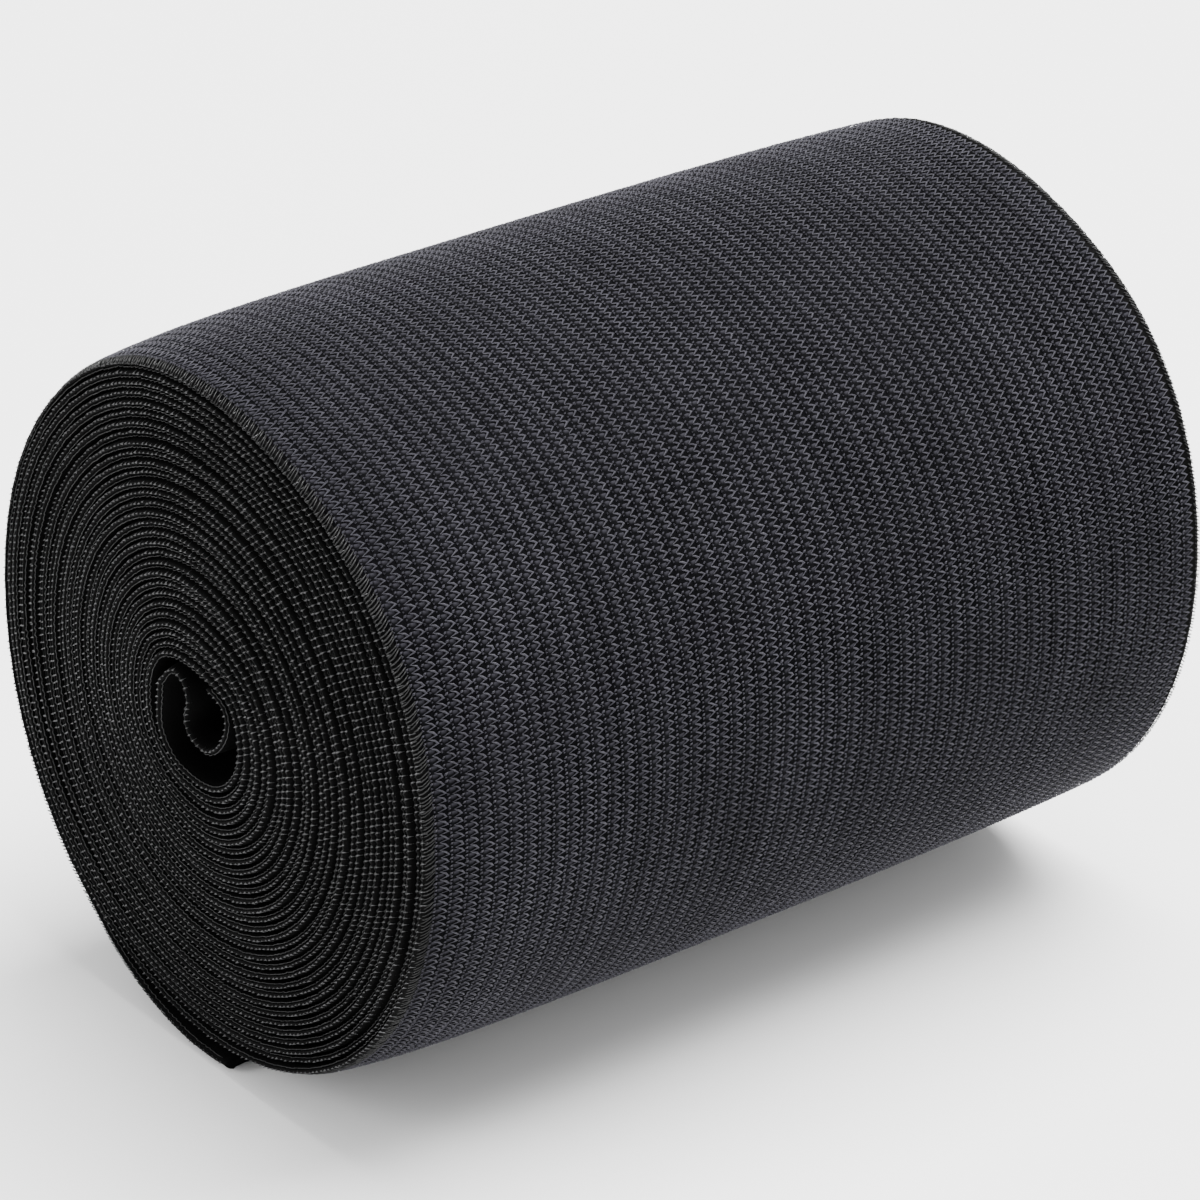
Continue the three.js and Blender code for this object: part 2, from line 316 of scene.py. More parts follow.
def sweptBand(name, material):
    # A rounded section swept from the inner cut edge to the outer one
    shares = np.array([s for s, _ in selvedge] + [s for s, _ in reversed(selvedge)])
    across = np.array([i - halfWidth for _, i in selvedge]
                      + [halfWidth + roll["farReach"] - i for _, i in reversed(selvedge)])
    places = innerFace[:, None] + (outerFace - innerFace)[:, None] * shares[None, :, None]
    outward = outwardOf(outerFace)[:, None]
    # The shown turn is lower by its yarns, and follows the roll's fuller far end
    sunk = shownTurn[:, None] * band["faceDepth"] * (shares == 1)
    beyond = bandAt - bandAt[-1] + shownLength
    lift = fullnessAt(beyond, halfWidth) * (beyond > 0)
    lift = lift[:, None] * shares * (across > 0)
    places = places + outward * (lift - sunk)[..., None]
    bm = sweptStrip(place(places, across[None, :] + endDrift(bandAt)[:, None]))
    mesh = bpy.data.meshes.new(name)
    bm.to_mesh(mesh)
    bm.free()
    return finishObject(name, mesh, material)


# The knit of the shown face, in millimetres and counted in ribs from the near edge
knit = {
    "column": 1.711,         # from one rib to the next
    "firstColumn": 1.27,     # from the near edge
    "columns": 58,
    "period": 0.834,         # from one course to the next, along the band
    "firstCourse": 0.3,
    "endMargin": 1.4,
    "courseStray": 0.03,
    "courseSway": (0.05, 3.1, 0.9),   # height, length along the band, and radians from rib to rib
    "endFade": 7,            # ribs in which the knit of the edges turns into that of the middle
    "edgeRound": 1.3,        # the shown face rounds down this near to its edges
    "edgeDrop": 0.45,        # by this much at the edge itself
    "driftMargin": 8,        # the ribs' sideways drift fades away this near to the edges
}
# How far each rib's courses lie ahead of those of the rib before it, by millimetres from the near edge
courseSkew = [
    (0, -0.1), (11, -0.1), (20, -0.04), (27, 0.0), (36, 0.1), (43, 0.19),
    (59, 0.17), (75, 0.125), (101, 0.12),
]
# Slow sideways drift of the ribs: height, length along the band, length across it and phase
ribWaves = [(0.14, 14, 19, 0.0), (0.07, 5.3, -11, 1.7)]
lastColumn = knit["columns"] - 1


def onBand(along, y, out):
    # Places on the shown face: along it, across it from the middle, and out of it
    x = np.interp(along, shownAt, shownPoints[:, 0])
    z = np.interp(along, shownAt, shownPoints[:, 1])
    nx = np.interp(along, shownAt, shownOut[:, 0])
    nz = np.interp(along, shownAt, shownOut[:, 1])
    over = np.clip((np.abs(y) - halfWidth + knit["edgeRound"]) / knit["edgeRound"], 0, 1)
    out = out + fullnessAt(along, y) - knit["edgeDrop"] * (1 - np.sqrt(1 - over ** 2))
    y = y + roll["farReach"] * smooth(y / halfWidth)
    return place(np.stack([x + nx * out, z + nz * out], -1), y)


def waviness(along, y):
    middle = smooth((halfWidth - np.abs(y)) / knit["driftMargin"])
    return middle * sum(height * np.sin(along / length + y / width + phase)
                        for height, length, width, phase in ribWaves)


def columnPlace(column):
    return -halfWidth + knit["firstColumn"] + knit["column"] * column


def nearEnds(column):
    # 1 at the ribs beside either edge, falling to 0 in the middle of the width
    return np.exp(-column / knit["endFade"]) + np.exp(-(lastColumn - column) / knit["endFade"])


def courseStart(column):
    # Where the courses of a rib start, along the band
    whole = np.arange(knit["columns"] + 1)
    table = np.array(courseSkew)
    skew = np.interp(columnPlace(whole) + halfWidth, table[:, 0], table[:, 1])
    return np.interp(column, whole, np.cumsum(skew))


def courses(columns):
    # Places of the zigzag's nodes along the band, a row for each rib
    first = courseStart(columns) % knit["period"] + knit["firstCourse"]
    count = int((shownLength - knit["endMargin"]) / knit["period"])
    along = first + np.arange(count)[None] * knit["period"]
    height, length, byRib = knit["courseSway"]
    stray = dice.normal(0, knit["courseStray"], along.shape)
    return along + stray + height * np.sin(along / length + columns * byRib)


# Three-cornered sections, about one unit wide to each side: a round one, and one with its crest
# at zero
roundCorners = [(0, 1), (-0.87, -0.5), (0.87, -0.5)]
crestCorners = [(0, 0), (-1, -0.6), (1, -0.6)]
# A yarn widens at its turns. A turn is measured by the sum of the unit steps before and after it,
# which is 2 where the yarn runs straight on, and it counts as no sharper than this.
sharpestTurn = 0.6
sharpestStitchTurn = 1.35


def yarnSection(name):
    section = bpy.data.curves.new(name, "CURVE")
    spline = section.splines.new("POLY")
    spline.points.add(len(roundCorners) - 1)
    for point, (x, y) in zip(spline.points, roundCorners):
        point.co = (x, y, 0, 1)
    spline.use_cyclic_u = True
    made = bpy.data.objects.new(name, section)
    bpy.context.scene.collection.objects.link(made)
    return made


roundSection = yarnSection("round_section")


def yarns(name, routes, halves, material):
    # Closed yarns along routes in metres, kept as wide through their turns as between them
    routes = np.asarray(routes)
    steps = np.diff(routes, axis=1)
    steps /= np.linalg.norm(steps, axis=2)[..., None]
    halves = np.broadcast_to(halves, routes.shape[:2]) * mm
    mitre = np.ones(routes.shape[:2])
    turns = np.linalg.norm(steps[:, 1:] + steps[:, :-1], axis=2)
    mitre[:, 1:-1] = 2 / np.clip(turns, sharpestTurn, 2)
    curve = bpy.data.curves.new(name, "CURVE")
    curve.dimensions = "3D"
    curve.bevel_mode = "OBJECT"
    curve.bevel_object = roundSection
    curve.use_fill_caps = True
    corners = np.concatenate([routes, np.ones((*routes.shape[:2], 1))], 2).astype(np.float32)
    widths = (halves * mitre).astype(np.float32)
    for route, width in zip(corners, widths):
        spline = curve.splines.new("POLY")
        spline.points.add(len(route) - 1)
        spline.points.foreach_set("co", route.ravel())
        spline.points.foreach_set("radius", width)
    drawn = bpy.data.objects.new(name, curve)
    bpy.context.scene.collection.objects.link(drawn)
    graph = bpy.context.evaluated_depsgraph_get()
    mesh = bpy.data.meshes.new_from_object(drawn.evaluated_get(graph))
    bpy.data.objects.remove(drawn)
    bpy.data.curves.remove(curve)
    bm = bmesh.new()
    bm.from_mesh(mesh)
    bmesh.ops.remove_doubles(bm, verts=bm.verts, dist=1e-7)
    bmesh.ops.recalc_face_normals(bm, faces=bm.faces)
    bm.to_mesh(mesh)
    bm.free()
    return finishObject(name, mesh, material)


def arraysFrom(bm):
    bm.verts.index_update()
    points = np.array([v.co for v in bm.verts])
    faces = np.array([[v.index for v in f.verts] for f in bm.faces])
    bm.free()
    return points, faces


def stitchShape(steps, corners):
    # A short closed yarn: its corners hold the step along the route, the way across and the way up
    bm = sweptStrip([[(k, across, up) for across, up in corners] for k in range(steps)])
    bmesh.ops.triangulate(bm, faces=bm.faces)
    return arraysFrom(bm)


def sideways(routes):
    # Vectors across flat routes, longer at their turns so that a yarn keeps its width
    steps = np.diff(routes, axis=-2)
    steps /= np.linalg.norm(steps, axis=-1)[..., None]
    between = steps[..., 1:, :] + steps[..., :-1, :]
    both = np.concatenate([2 * steps[..., :1, :], between, 2 * steps[..., -1:, :]], -2)
    size = np.linalg.norm(both, axis=-1)[..., None]
    both = both / size * 2 / np.clip(size, sharpestStitchTurn, 2)
    return np.stack([-both[..., 1], both[..., 0]], -1)


def meshFromArrays(name, points, faces):
    mesh = bpy.data.meshes.new(name)
    count, corners = faces.shape
    mesh.vertices.add(len(points))
    mesh.vertices.foreach_set("co", points.astype(np.float32).ravel())
    mesh.loops.add(count * corners)
    mesh.loops.foreach_set("vertex_index", faces.astype(np.int32).ravel())
    mesh.polygons.add(count)
    mesh.polygons.foreach_set("loop_start", np.arange(0, count * corners, corners, dtype=np.int32))
    mesh.update(calc_edges=True)
    return mesh


sampleCopies = 40


def copiedMesh(name, places, faces, material, rounded=True):
    # Many copies of one small shape as one mesh, a row of places for each copy
    sample = places[:sampleCopies][:, faces]
    volume = np.sum(sample[..., 0, :] * np.cross(sample[..., 1, :], sample[..., 2, :]))
    # The faces are turned round if the first copies come out inside out
    if volume < 0:
        faces = faces[:, ::-1]
    step = places.shape[1] * np.arange(len(places))[:, None, None]
    mesh = meshFromArrays(name, places.reshape(-1, 3), (faces[None] + step).reshape(-1, 3))
    return finishObject(name, mesh, material, rounded)


# The yarn that swings across each rib. It has three points: a pointed node on the right, one
# between, and a low turn on the left.
zigzag = {
    "yarnHalf": 0.09,        # half its width
    "widths": (1.1, 1.15, 0.8),
    "widthSpread": (0.8, 1.2),
    "heights": (-0.02, -0.05, -0.19),
    "nodeBack": 0.385,       # from a rib's chain back to the nodes
    "ahead": 0.32,           # how far ahead of its node the yarn turns back, along the band
    "moreAhead": 0.28,       # how much more that is at the near edge
    "aheadFade": 13,         # ribs
    "betweenAhead": 0.55,    # the share of it for the point between
    "betweenBack": 0.27,
    "reach": 0.68,           # from a node across to the turn
    "moreReach": 0.12,       # how much more that is at the near edge
    "stray": 0.045,
    "sinking": 0.035,
}


def turnAhead(column):
    return zigzag["ahead"] + zigzag["moreAhead"] * np.exp(-column / zigzag["aheadFade"])


def zigzagYarns(name, firstColumn, endColumn, material):
    columns = np.arange(firstColumn, endColumn)[:, None]
    node = courses(columns)
    ahead = turnAhead(columns)
    reach = zigzag["reach"] + zigzag["moreReach"] * np.exp(-columns / knit["endFade"])
    along = np.stack([node, node + zigzag["betweenAhead"] * ahead, node + ahead], 2)
    back = np.stack([0 * node, 0 * node + zigzag["betweenBack"], 0 * node + reach], 2)
    back = back + dice.normal(0, zigzag["stray"], back.shape)
    y = columnPlace(columns)[..., None] - zigzag["nodeBack"] - back
    out = np.array(zigzag["heights"]) - np.abs(dice.normal(0, zigzag["sinking"], along.shape))
    spread = dice.uniform(*zigzag["widthSpread"], along.shape)
    halves = zigzag["yarnHalf"] * np.array(zigzag["widths"]) * spread
    rows = len(columns)
    along, y, out, halves = (part.reshape(rows, -1) for part in (along, y, out, halves))
    y = y + waviness(along, y)
    side = sideways(np.stack([along, y], -1))
    # One copy of the shape spans three points of the yarn and the first of the next three
    points = len(zigzag["heights"])
    shape, faces = stitchShape(points + 1, crestCorners)
    corner = shape[:, 0].astype(int)
    at = points * np.arange(along.shape[1] // points - 1)[:, None] + corner[None]
    half = halves[:, at]
    alongAt = along[:, at] + side[:, at, 0] * half * shape[:, 1]
    yAt = y[:, at] + side[:, at, 1] * half * shape[:, 1]
    places = onBand(alongAt, yAt, out[:, at] + half * shape[:, 2])
    return copiedMesh(name, places.reshape(-1, len(shape), 3), faces, material, rounded=False)


# The chain that closes each rib: a slanted stitch ahead of each node, and a round one behind it
slantedStitch = {"sides": 4, "ahead": 0.2, "length": 0.25, "width": 0.13, "height": 0.17, "lean": 60}
roundStitch = {"sides": 3, "ahead": -0.18, "length": 0.16, "width": 0.16, "height": 0.17, "lean": 0}
chain = {"alongStray": 0.025, "acrossStray": 0.03, "sizes": (0.78, 1.2), "depth": 0.02}


def beadShape(sides):
    bm = bmesh.new()
    bmesh.ops.create_cone(bm, cap_ends=True, segments=sides, radius1=1, radius2=0, depth=1)
    bmesh.ops.triangulate(bm, faces=bm.faces)
    bmesh.ops.recalc_face_normals(bm, faces=bm.faces)
    return arraysFrom(bm)


def chainStitches(name, stitch, material):
    shape, faces = beadShape(stitch["sides"])
    columns = np.arange(knit["columns"])[:, None]
    node = courses(columns)
    along = node + stitch["ahead"] + dice.normal(0, chain["alongStray"], node.shape)
    y = columnPlace(columns) + dice.normal(0, chain["acrossStray"], node.shape)
    y = y + waviness(along, y)
    size = dice.uniform(*chain["sizes"], node.shape)[..., None]
    go, side = shape[:, 0] * stitch["length"] * size, shape[:, 1] * stitch["width"] * size
    turn = math.radians(stitch["lean"])
    s = along[..., None] + go * math.cos(turn) - side * math.sin(turn)
    w = y[..., None] + go * math.sin(turn) + side * math.cos(turn)
    h = (shape[:, 2] - 0.5) * stitch["height"] * size - chain["depth"]
    places = onBand(s, w, h).reshape(-1, len(shape), 3)
    return copiedMesh(name, places, faces, material, rounded=False)


# The slanted yarns that come over the shown face's edges and end near its first and last chain,
# with four points each
rim = {
    "period": 0.417,
    "first": 0.4,
    "endMargin": 1.6,
    "yarnHalf": 0.08,
    "widthSpread": (0.75, 1.2),
    "reach": (0.04, 0.35, 0.8, 1.25),
    "farShare": 0.75,        # the far rim's yarns reach in less than the near rim's
    "lean": (0.0, 0.12, 0.4, 0.72),
    "heights": (-0.2, -0.12, -0.12, -0.2),
    "alongStray": 0.03,
    "reachStray": 0.02,
    "leanStray": 0.1,
    "leanStrayShares": (0, 0.3, 0.8, 1.2),
    "sinking": 0.05,
    "flatter": 0.24,         # they lie flatter where the last of the band comes away from the roll
    "flatterShares": (1.0, 1.0, 0.6, 0.2),
    "flatterFrom": 165,
    "flatterOver": 15,
}


def edgeYarns(name, side, material):
    count = int((shownLength - rim["endMargin"]) / rim["period"])
    points = len(rim["reach"])
    at = rim["first"] + np.arange(count)[:, None] * rim["period"]
    at = at + dice.normal(0, rim["alongStray"], (count, 1))
    reach = np.array(rim["reach"]) + dice.normal(0, rim["reachStray"], (count, points))
    leanStray = dice.normal(0, rim["leanStray"], (count, 1)) * np.array(rim["leanStrayShares"])
    lean = np.array(rim["lean"]) + leanStray
    y = side * (halfWidth - reach * (1.0 if side < 0 else rim["farShare"]))
    out = np.array(rim["heights"]) - np.abs(dice.normal(0, rim["sinking"], y.shape))
    flatter = rim["flatter"] * smooth((at - rim["flatterFrom"]) / rim["flatterOver"])
    out = out - flatter * np.array(rim["flatterShares"])
    halves = rim["yarnHalf"] * dice.uniform(*rim["widthSpread"], y.shape)
    return yarns(name, onBand(at + lean, y, out), halves, material)


# The loops along the band's two edges, as shares of its thickness and millimetres in from the edge
loopPeriod = 0.8
nearLoops = {"route": [(0.36, 0.6), (0.54, 0.1), (0.72, 0.6)], "halves": (0.1, 0.17, 0.1),
             "period": loopPeriod / 2}
farLoops = {"route": [(0.2, 0.5), (0.5, 0.1), (0.8, 0.5)], "halves": (0.1, 0.14, 0.1),
            "period": loopPeriod * 1.5}
loops = {
    "first": 0.6,
    "endMargin": 1.0,
    "deeper": 0.24,          # every other loop lies deeper by this much, and is thinner
    "thinner": 0.75,
    "stray": 0.03,
    "alongStray": 0.04,
    "widthSpread": (0.85, 1.15),
}
# The thin yarn along the inner side of the near edge, wavy from loop to loop
thread = {"half": 0.05, "shares": (0.13, 0.07), "insets": (0.36, 0.2), "shareStray": 0.02,
          "insetStray": 0.03}


def atEdge(at, share, inset, side):
    # Places near one end of the roll: along the band, through its thickness, and in from its edge
    line = []
    for axis in (0, 1):
        inner = np.interp(at, bandAt, innerFace[:, axis])
        outer = np.interp(at, bandAt, outerFace[:, axis])
        line.append(inner + (outer - inner) * share)
    end = halfWidth if side < 0 else halfWidth + roll["farReach"]
    return place(np.stack(line, -1), side * (end - inset) + endDrift(at))


def edgeLoops(name, side, loop, material):
    # Loops that come up out of the band's thickness, over its edge and down again
    at = np.arange(loops["first"], bandAt[-1] - loops["endMargin"], loop["period"])[:, None]
    route = np.array(loop["route"])
    route = route + dice.normal(0, loops["stray"], (len(at), *route.shape))
    route[1::2, :, 1] += loops["deeper"]
    at = at + dice.normal(0, loops["alongStray"], at.shape)
    route = np.stack([route[..., 0], -np.abs(route[..., 1])], -1)
    across = sideways(route)
    shape, faces = stitchShape(route.shape[1], roundCorners)
    corner = shape[:, 0].astype(int)
    half = np.where(np.arange(len(at)) % 2, loops["thinner"], 1.0)[:, None]
    half = half * dice.uniform(*loops["widthSpread"], at.shape)
    half = half * np.array(loop["halves"])[corner]
    share = route[:, corner, 0] + across[:, corner, 0] * half * shape[:, 2]
    inset = -route[:, corner, 1] - across[:, corner, 1] * half * shape[:, 2]
    places = atEdge(at + half * shape[:, 1], share, inset, side)
    return copiedMesh(name, places, faces, material)


def edgeLine(name, material):
    at = np.arange(loops["first"], bandAt[-1] - loops["endMargin"], loopPeriod / 2)
    share = np.resize(thread["shares"], len(at)) + dice.normal(0, thread["shareStray"], at.shape)
    inset = np.resize(thread["insets"], len(at)) + dice.normal(0, thread["insetStray"], at.shape)
    halves = thread["half"] * dice.uniform(*loops["widthSpread"], at.shape)
    return yarns(name, atEdge(at, share, inset, -1)[None], halves[None], material)


# The knit under the yarns of the shown face: a crest in each rib and a groove under its nodes
ground = {
    "steps": 120,
    "endMargin": 0.15,
    "edgeMargin": 0.25,
    "grooveBack": 0.24,      # ribs, from a chain back to the groove
    "grooveDepth": 0.5,
    "crestDepth": 0.28,
    "lowerAtEnds": 0.17,
    "edgeDepth": 0.4,
    "thickness": 0.15,
}


def ribbedGround(name, material):
    across, steps = 2 * knit["columns"], ground["steps"]
    bm = bmesh.new()
    bmesh.ops.create_grid(bm, x_segments=steps, y_segments=across, size=0.5)
    bm.verts.index_update()
    grid = np.array([(v.co.x + 0.5, v.co.y + 0.5) for v in bm.verts])
    along = ground["endMargin"] + grid[:, 0] * (shownLength - 2 * ground["endMargin"])
    row = np.round(grid[:, 1] * across)
    column = row / 2 - ground["grooveBack"]
    inside = halfWidth - ground["edgeMargin"]
    y = np.clip(columnPlace(column), -inside, inside)
    crest = ground["crestDepth"] + ground["lowerAtEnds"] * nearEnds(np.clip(column, 0, lastColumn))
    out = np.where(row % 2 == 0, -ground["grooveDepth"], -crest)
    out = np.where((row == 0) | (row == across), -ground["edgeDepth"], out)
    places = onBand(along, y + waviness(along, y), out)
    for vert, co in zip(bm.verts, places):
        vert.co = co
    # A map that counts courses one way and ribs the other, for the painted light and shade of its
    # material
    course = (along - courseStart(column) - turnAhead(column)) / knit["period"]
    knitMap = bm.loops.layers.uv.new("knit")
    for face in bm.faces:
        for loop in face.loops:
            loop[knitMap].uv = (course[loop.vert.index], column[loop.vert.index])
    bmesh.ops.recalc_face_normals(bm, faces=bm.faces)
    bmesh.ops.solidify(bm, geom=bm.faces, thickness=ground["thickness"] * mm)
    bmesh.ops.recalc_face_normals(bm, faces=bm.faces)
    mesh = bpy.data.meshes.new(name)
    bm.to_mesh(mesh)
    bm.free()
    return finishObject(name, mesh, material)


# Materials
tone = {
    "squeeze": (0.02, 1.0, 0.02),   # streaks run round the roll, so they change across the width only
    "fuzzScale": 6000,
    "fuzzShare": 1.5,
    "dark": 1.35,                   # sums of the three noises that give the dark and the light colour
    "light": 2.15,
}
# The ramps of the ground's painted light: counted back from a turn to the next course, and across a rib,
# in and out
foldRamps = [
    {"of": "course", "from": 0.0, "to": 0.5, "atFrom": 1.0, "atTo": 0.0},
    {"of": "rib", "from": 0.1, "to": 0.28, "atFrom": 0.0, "atTo": 1.0},
    {"of": "rib", "from": 0.5, "to": 0.66, "atFrom": 1.0, "atTo": 0.0},
]
fuzzDepth = 0.00006


def mathNode(group, operation, *values):
    # A node whose inputs are numbers or come from other nodes
    node = group.nodes.new("ShaderNodeMath")
    node.operation = operation
    for entry, value in zip(node.inputs, values):
        if isinstance(value, (int, float)):
            entry.default_value = value
        else:
            group.links.new(value, entry)
    return node.outputs[0]


def ribToneGroup():
    group = bpy.data.node_groups.new("ribTone", "ShaderNodeTree")
    sockets = group.interface
    for label, value in (("Streak Scale", 600.0), ("Blotch Scale", 60.0)):
        sockets.new_socket(label, in_out="INPUT", socket_type="NodeSocketFloat").default_value = value
    sockets.new_socket("Tone", in_out="OUTPUT", socket_type="NodeSocketFloat")
    sockets.new_socket("Fuzz", in_out="OUTPUT", socket_type="NodeSocketFloat")
    nodes, links = group.nodes, group.links
    given, result = nodes.new("NodeGroupInput"), nodes.new("NodeGroupOutput")
    coords = nodes.new("ShaderNodeTexCoord")
    squeeze = nodes.new("ShaderNodeVectorMath")
    squeeze.operation = "MULTIPLY"
    squeeze.inputs[1].default_value = tone["squeeze"]
    streaks, blotches, fuzz = (nodes.new("ShaderNodeTexNoise") for _ in range(3))
    fuzz.inputs["Scale"].default_value = tone["fuzzScale"]
    links.new(coords.outputs["Object"], squeeze.inputs[0])
    links.new(squeeze.outputs[0], streaks.inputs["Vector"])
    links.new(coords.outputs["Object"], blotches.inputs["Vector"])
    links.new(coords.outputs["Object"], fuzz.inputs["Vector"])
    links.new(given.outputs["Streak Scale"], streaks.inputs["Scale"])
    links.new(given.outputs["Blotch Scale"], blotches.inputs["Scale"])
    both = mathNode(group, "ADD", streaks.outputs["Fac"], blotches.outputs["Fac"])
    grain = mathNode(group, "MULTIPLY_ADD", fuzz.outputs["Fac"], tone["fuzzShare"], both)
    spread = nodes.new("ShaderNodeMapRange")
    spread.inputs["From Min"].default_value = tone["dark"]
    spread.inputs["From Max"].default_value = tone["light"]
    links.new(grain, spread.inputs["Value"])
    links.new(spread.outputs["Result"], result.inputs["Tone"])
    links.new(fuzz.outputs["Fac"], result.inputs["Fuzz"])
    return group


def foldGroup():
    # Soft painted light beside the low turns of the zigzag, fading back into the ground's painted shade,
    # from the ground's own knit map
    group = bpy.data.node_groups.new("knitPaintedLight", "ShaderNodeTree")
    sockets = group.interface
    sockets.new_socket("Knit", in_out="INPUT", socket_type="NodeSocketVector")
    sockets.new_socket("Painted Light Length", in_out="INPUT", socket_type="NodeSocketFloat").default_value = 0.5
    sockets.new_socket("Painted Light", in_out="OUTPUT", socket_type="NodeSocketFloat")
    nodes, links = group.nodes, group.links
    given, result = nodes.new("NodeGroupInput"), nodes.new("NodeGroupOutput")
    split = nodes.new("ShaderNodeSeparateXYZ")
    links.new(given.outputs["Knit"], split.inputs[0])
    behind = mathNode(group, "MULTIPLY", split.outputs["X"], -1)
    counted = {
        "course": mathNode(group, "FRACT", behind),
        "rib": mathNode(group, "FRACT", split.outputs["Y"]),
    }
    value = None
    for row in foldRamps:
        ramp = nodes.new("ShaderNodeMapRange")
        ramp.interpolation_type = "SMOOTHSTEP"
        ramp.inputs["From Min"].default_value = row["from"]
        ramp.inputs["From Max"].default_value = row["to"]
        ramp.inputs["To Min"].default_value = row["atFrom"]
        ramp.inputs["To Max"].default_value = row["atTo"]
        links.new(counted[row["of"]], ramp.inputs["Value"])
        if row["of"] == "course":
            links.new(given.outputs["Painted Light Length"], ramp.inputs["From Max"])
        shown = ramp.outputs["Result"]
        value = shown if value is None else mathNode(group, "MULTIPLY", value, shown)
    links.new(value, result.inputs["Painted Light"])
    return group


toneGroup = ribToneGroup()
folds = foldGroup()


def knitMaterial(name, look):
    material = bpy.data.materials.new(name)
    material.use_nodes = True
    nodes, links = material.node_tree.nodes, material.node_tree.links
    shader = nodes["Principled BSDF"]
    shader.inputs["Roughness"].default_value = look["roughness"]
    shader.inputs["Specular IOR Level"].default_value = look["specular"]
    shader.inputs["Sheen Weight"].default_value = look["sheen"]
    shader.inputs["Sheen Roughness"].default_value = look["sheenRoughness"]
    shader.inputs["Sheen Tint"].default_value = (*look["sheenTint"], 1)
    toned = nodes.new("ShaderNodeGroup")
    toned.node_tree = toneGroup
    toned.inputs["Streak Scale"].default_value = look["streakScale"]
    toned.inputs["Blotch Scale"].default_value = look["blotchScale"]
    mix = nodes.new("ShaderNodeMix")
    mix.data_type = "RGBA"
    mix.inputs["A"].default_value = (*look["dark"], 1)
    mix.inputs["B"].default_value = (*look["light"], 1)
    links.new(toned.outputs["Tone"], mix.inputs["Factor"])
    colour = mix.outputs["Result"]
    if "fold" in look:
        # Painted light: a lighter colour mixed over the base colour where the ramps are high
        knitMap = nodes.new("ShaderNodeUVMap")
        knitMap.uv_map = "knit"
        fold = nodes.new("ShaderNodeGroup")
        fold.node_tree = folds
        fold.inputs["Painted Light Length"].default_value = look["foldLength"]
        links.new(knitMap.outputs["UV"], fold.inputs["Knit"])
        lighter = nodes.new("ShaderNodeMix")
        lighter.data_type = "RGBA"
        lighter.inputs["B"].default_value = (*look["fold"], 1)
        links.new(fold.outputs["Painted Light"], lighter.inputs["Factor"])
        links.new(colour, lighter.inputs["A"])
        colour = lighter.outputs["Result"]
    links.new(colour, shader.inputs["Base Color"])
    bump = nodes.new("ShaderNodeBump")
    bump.inputs["Strength"].default_value = look["fuzz"]
    bump.inputs["Distance"].default_value = fuzzDepth
    links.new(toned.outputs["Fuzz"], bump.inputs["Height"])
    links.new(bump.outputs["Normal"], shader.inputs["Normal"])
    return material


plainKnit = {"sheen": 0.0, "sheenRoughness": 0.4, "sheenTint": (1.0, 1.0, 1.0),
             "streakScale": 500, "blotchScale": 90, "fuzz": 0.3}
looks = {
    "faceYarn": {**plainKnit, "dark": (0.0165, 0.0158, 0.02), "light": (0.037, 0.0358, 0.0442),
                 "roughness": 0.5, "specular": 0.1, "sheen": 0.02, "sheenTint": (0.9, 0.88, 1.0),
                 "blotchScale": 70, "fuzz": 0.5},
    "edgeYarn": {**plainKnit, "dark": (0.018, 0.018, 0.019), "light": (0.05, 0.05, 0.053),
                 "roughness": 0.35, "specular": 0.55},
    "rimYarn": {**plainKnit, "dark": (0.005, 0.005, 0.0052), "light": (0.02, 0.02, 0.02),
                "roughness": 0.4, "specular": 0.25},
    # The thin yarn along the near edge is darker than the loops' yarn: painted shade
    "edgeLine": {**plainKnit, "dark": (0.004, 0.004, 0.0042), "light": (0.012, 0.012, 0.0125),
                 "roughness": 0.35, "specular": 0.18},
    # The band's body is near black, darker than its yarns: painted shade in the gaps between the turns
    # and between the loops
    "selvedge": {**plainKnit, "dark": (0.0012, 0.0012, 0.0012), "light": (0.003, 0.003, 0.003),
                 "roughness": 0.7, "specular": 0.02, "sheenRoughness": 0.5},
    # The ground's near-black colour is painted shade in the pits between the yarns; its lighter colour
    # is painted light, mixed in by the ramps below
    "ground": {**plainKnit, "dark": (0.0012, 0.0012, 0.0015), "light": (0.003, 0.003, 0.0036),
               "roughness": 0.9, "specular": 0.02, "sheenRoughness": 0.5,
               "fold": (0.023, 0.0223, 0.0272), "foldLength": 0.6},
}
faceYarn = knitMaterial("face_yarn", looks["faceYarn"])
edgeYarn = knitMaterial("edge_yarn", looks["edgeYarn"])
lineYarnPaintedShade = knitMaterial("edge_line_yarn_painted_shade", looks["edgeLine"])
rimYarn = knitMaterial("rim_yarn", looks["rimYarn"])
selvedgePaintedShade = knitMaterial("selvedge_painted_shade", looks["selvedge"])
groundPaintedShadeAndLight = knitMaterial("ground_knit_painted_shade_and_light", looks["ground"])
print("materials made")

# The camera, at the photograph's angle: place in millimetres from the near end's middle
view = {
    "place": (457.6, -303.6, 292.3),
    "direction": (-0.7048, 0.5459, -0.4530),
    "lens": 183.2,
    "sensor": 36,
    "nearest": 0.01,
}
cameraData = bpy.data.cameras.new("camera")
cameraData.lens = view["lens"]
cameraData.sensor_width = view["sensor"]
cameraData.clip_start = view["nearest"]
camera = bpy.data.objects.new("camera", cameraData)
nearEnd = Vector((0, -halfWidth, roll["axisHeight"]))
camera.location = (nearEnd + Vector(view["place"])) * mm
camera.rotation_euler = Vector(view["direction"]).to_track_quat("-Z", "Y").to_euler()
bpy.context.scene.collection.objects.link(camera)
bpy.context.scene.camera = camera

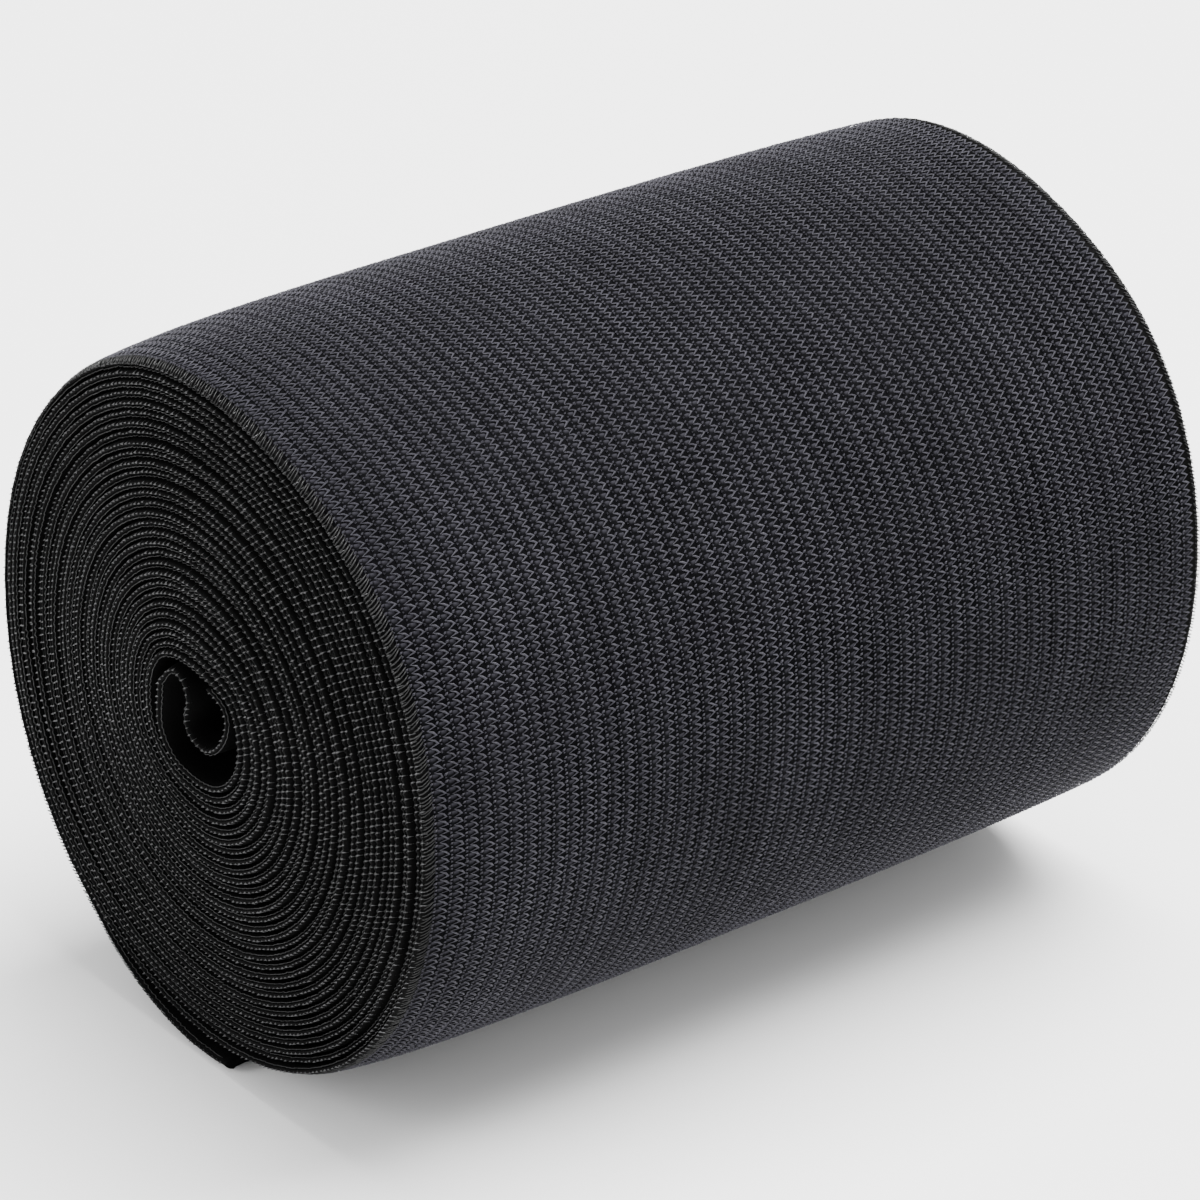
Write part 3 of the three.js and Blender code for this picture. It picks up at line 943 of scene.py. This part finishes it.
# The elastic
wholeBand = sweptBand("elastic_band", selvedgePaintedShade)
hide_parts("wound_band", "loose_end", "inner_end")
stitches = [ribbedGround("ribbed_ground", groundPaintedShadeAndLight)]
zigzagSplits = (1, 20, 39, 59)
for k, (firstColumn, endColumn) in enumerate(zip(zigzagSplits, zigzagSplits[1:])):
    stitches.append(zigzagYarns(f"zigzag_yarns_{k + 1}", firstColumn, endColumn, faceYarn))
stitches.append(chainStitches("slanted_stitches", slantedStitch, faceYarn))
stitches.append(chainStitches("round_stitches", roundStitch, faceYarn))
stitches.append(edgeLoops("edge_loops_near", -1, nearLoops, edgeYarn))
stitches.append(edgeLoops("edge_loops_far", 1, farLoops, edgeYarn))
stitches.append(edgeLine("edge_line_near", lineYarnPaintedShade))
stitches.append(edgeYarns("edge_yarns_near", -1, rimYarn))
stitches.append(edgeYarns("edge_yarns_far", 1, rimYarn))
bpy.data.objects.remove(roundSection)
total = 0
for piece in [wholeBand] + stitches:
    piece.data.calc_loop_triangles()
    total += len(piece.data.loop_triangles)
    print(piece.name, len(piece.data.loop_triangles), "triangles")
print("in all", total, "triangles")

# Floor and light, in metres and watts
studio = {
    "floorSize": 4.0,
    "floorColour": (0.92, 0.92, 0.92),
    "floorRoughness": 0.9,
    "worldColour": (1.0, 1.0, 1.0),
    "worldStrength": 1.2,
    "lamps": [
        # name, place, aimed at, size, power
        ("top_light", (0.1, 0.45, 1.3), (0, 0, 0.04), 1.2, 88),
        ("side_light", (1.3, 0.1, 0.6), (0, 0, 0.04), 0.8, 3),
        ("front_light", (-0.7, -1.1, 0.5), (0, 0, 0.04), 0.6, 13),
    ],
}
floorMesh = bmesh.new()
bmesh.ops.create_grid(floorMesh, x_segments=1, y_segments=1, size=studio["floorSize"] / 2)
floorData = bpy.data.meshes.new("floor")
floorMesh.to_mesh(floorData)
floorMesh.free()
floor = bpy.data.objects.new("floor", floorData)
floorMaterial = bpy.data.materials.new("pale_floor")
floorMaterial.use_nodes = True
floorShader = floorMaterial.node_tree.nodes["Principled BSDF"]
floorShader.inputs["Base Color"].default_value = (*studio["floorColour"], 1)
floorShader.inputs["Roughness"].default_value = studio["floorRoughness"]
floorData.materials.append(floorMaterial)
bpy.context.scene.collection.objects.link(floor)
world = bpy.data.worlds.new("studio")
world.use_nodes = True
world.node_tree.nodes["Background"].inputs["Color"].default_value = (*studio["worldColour"], 1)
world.node_tree.nodes["Background"].inputs["Strength"].default_value = studio["worldStrength"]
bpy.context.scene.world = world
for name, location, target, size, power in studio["lamps"]:
    data = bpy.data.lights.new(name, "AREA")
    data.size = size
    data.energy = power
    lamp = bpy.data.objects.new(name, data)
    lamp.location = location
    lamp.rotation_euler = (Vector(target) - Vector(location)).to_track_quat("-Z", "Y").to_euler()
    bpy.context.scene.collection.objects.link(lamp)
